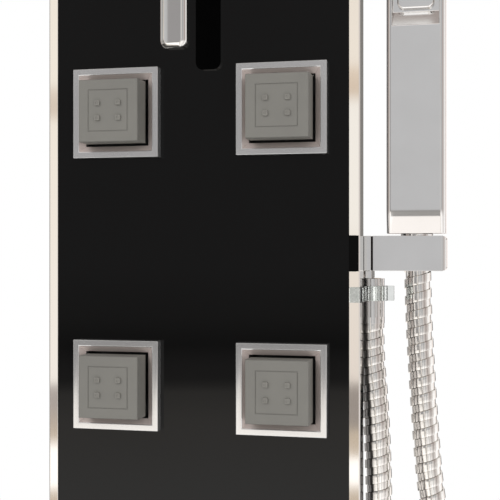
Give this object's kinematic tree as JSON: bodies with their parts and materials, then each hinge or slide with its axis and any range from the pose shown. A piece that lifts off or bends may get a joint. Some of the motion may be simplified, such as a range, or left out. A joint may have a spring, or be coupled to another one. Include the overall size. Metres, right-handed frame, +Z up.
{
  "type": "shower panel column",
  "caption": "Wall shower panel: black glass face with swivelling square body jets, lever mixer, diverter, overhead rain head, and a stick hand shower with metal hose on a swivel holder.",
  "frame": {"origin": "centre of the rectangle of wall screws, on the wall plane", "axes": "+Z up, -Y out of the wall towards the user, +X to the user's right; the wall screws run along +Y"},
  "size_m": [0.3448, 0.5, 1.6353],
  "materials": {
    "black_glass": "toughened glass printed black behind, polished",
    "profile_chrome": "bright polished extrusion",
    "cap_chrome": "bright polished",
    "housing_sheet": "folded sheet, brushed",
    "screw_steel": "plated steel",
    "jet_chrome": "mirror polished",
    "socket_plastic": "moulded acetal",
    "ball_brass": "turned, polished",
    "head_plastic": "moulded grey plastic, satin",
    "nozzle_rubber": "silicone",
    "plumbing_brass": "cast and drawn brass",
    "cartridge_plastic": "moulded",
    "handle_chrome": "mirror polished",
    "rain_chrome": "mirror polished",
    "rain_rubber": "silicone",
    "black_plastic": "moulded, gloss",
    "holder_chrome": "mirror polished",
    "hand_chrome": "mirror polished",
    "nut_chrome": "mirror polished, fluted",
    "hose_metal": "double-lock stainless hose, polished",
    "clip_clear": "clear moulded plastic"
  },
  "bodies": {
    "column": {"front_panel": "black_glass", "edge_profile_left": "profile_chrome", "edge_profile_right": "profile_chrome", "top_cap": "cap_chrome", "bottom_cap": "cap_chrome", "rear_housing": "housing_sheet", "wall_bracket_upper": "housing_sheet", "wall_bracket_lower": "housing_sheet", "bracket_screws": "screw_steel", "holder_pin": "screw_steel", "jet_1_frame": "jet_chrome", "jet_1_socket": "socket_plastic", "jet_2_frame": "jet_chrome", "jet_2_socket": "socket_plastic", "jet_3_frame": "jet_chrome", "jet_3_socket": "socket_plastic", "jet_4_frame": "jet_chrome", "jet_4_socket": "socket_plastic", "mixer_body": "plumbing_brass", "diverter_body": "plumbing_brass", "outlet_nipple": "plumbing_brass", "rain_tube": "plumbing_brass", "hand_shower_tube": "plumbing_brass", "jet_manifold": "plumbing_brass", "mixer_cartridge": "cartridge_plastic", "mixer_cover": "handle_chrome", "diverter_cover": "handle_chrome", "rain_arm": "rain_chrome", "holder_mount_block": "black_plastic", "holder_base": "holder_chrome", "hose_nut": "nut_chrome", "hose": "hose_metal", "hose_clip": "clip_clear"},
    "mixer_handle": {"handle_turret": "handle_chrome", "lever_pin": "screw_steel"},
    "lever": {"lever_handle": "handle_chrome"},
    "diverter": {"diverter_knob": "handle_chrome"},
    "jet_1_swivel": {"jet_1_ball": "ball_brass"},
    "jet_1_spray": {"jet_1_head": "head_plastic", "jet_1_nozzles": "nozzle_rubber"},
    "jet_2_swivel": {"jet_2_ball": "ball_brass"},
    "jet_2_spray": {"jet_2_head": "head_plastic", "jet_2_nozzles": "nozzle_rubber"},
    "jet_3_swivel": {"jet_3_ball": "ball_brass"},
    "jet_3_spray": {"jet_3_head": "head_plastic", "jet_3_nozzles": "nozzle_rubber"},
    "jet_4_swivel": {"jet_4_ball": "ball_brass"},
    "jet_4_spray": {"jet_4_head": "head_plastic", "jet_4_nozzles": "nozzle_rubber"},
    "rain_swivel": {"rain_ball": "rain_chrome"},
    "rain_spray": {"rain_head": "rain_chrome", "rain_nozzles": "rain_rubber"},
    "holder_swivel_block": {"holder_block": "holder_chrome"},
    "hand_piece": {"hand_shower": "hand_chrome", "spray_plate": "holder_chrome", "spray_nozzles": "rain_rubber", "cone_nut": "holder_chrome"}
  },
  "joints": [
    {"name": "mixer_turn", "type": "hinge", "parent": "column", "child": "mixer_handle", "pos_m": [-0.004, -0.088, 0.005], "axis": [0, 1, 0], "range_deg": [-45, 45]},
    {"name": "lever_lift", "type": "hinge", "parent": "mixer_handle", "child": "lever", "pos_m": [-0.004, -0.088, 0.019], "axis": [-1, 0, 0], "range_deg": [0, 25]},
    {"name": "diverter_turn", "type": "hinge", "parent": "column", "child": "diverter", "pos_m": [-0.004, -0.08, 0.1], "axis": [0, 1, 0], "range_deg": [-90, 90]},
    {"name": "jet_1_pan", "type": "hinge", "parent": "column", "child": "jet_1_swivel", "pos_m": [-0.053, -0.0628, -0.1146], "axis": [0, 0, 1], "range_deg": [-12, 12]},
    {"name": "jet_1_tilt", "type": "hinge", "parent": "jet_1_swivel", "child": "jet_1_spray", "pos_m": [-0.053, -0.0628, -0.1146], "axis": [1, 0, 0], "range_deg": [-12, 12]},
    {"name": "jet_2_pan", "type": "hinge", "parent": "column", "child": "jet_2_swivel", "pos_m": [0.053, -0.0628, -0.1146], "axis": [0, 0, 1], "range_deg": [-12, 12]},
    {"name": "jet_2_tilt", "type": "hinge", "parent": "jet_2_swivel", "child": "jet_2_spray", "pos_m": [0.053, -0.0628, -0.1146], "axis": [1, 0, 0], "range_deg": [-12, 12]},
    {"name": "jet_3_pan", "type": "hinge", "parent": "column", "child": "jet_3_swivel", "pos_m": [-0.053, -0.0628, -0.2854], "axis": [0, 0, 1], "range_deg": [-12, 12]},
    {"name": "jet_3_tilt", "type": "hinge", "parent": "jet_3_swivel", "child": "jet_3_spray", "pos_m": [-0.053, -0.0628, -0.2854], "axis": [1, 0, 0], "range_deg": [-12, 12]},
    {"name": "jet_4_pan", "type": "hinge", "parent": "column", "child": "jet_4_swivel", "pos_m": [0.053, -0.0628, -0.2854], "axis": [0, 0, 1], "range_deg": [-12, 12]},
    {"name": "jet_4_tilt", "type": "hinge", "parent": "jet_4_swivel", "child": "jet_4_spray", "pos_m": [0.053, -0.0628, -0.2854], "axis": [1, 0, 0], "range_deg": [-12, 12]},
    {"name": "rain_roll", "type": "hinge", "parent": "column", "child": "rain_swivel", "pos_m": [-0.004, -0.4, 0.658], "axis": [0, 1, 0], "range_deg": [-12, 12]},
    {"name": "rain_tilt", "type": "hinge", "parent": "rain_swivel", "child": "rain_spray", "pos_m": [-0.004, -0.4, 0.658], "axis": [1, 0, 0], "range_deg": [-12, 12]},
    {"name": "holder_swivel", "type": "hinge", "parent": "column", "child": "holder_swivel_block", "pos_m": [0.10525, -0.03, -0.2027], "axis": [1, 0, 0], "range_deg": [0, 30], "deforming": ["hose"]},
    {"name": "hand_shower_lift", "type": "slide", "parent": "holder_swivel_block", "child": "hand_piece", "axis": [0, 0, 1], "range_m": [0, 0.03]}
  ]
}
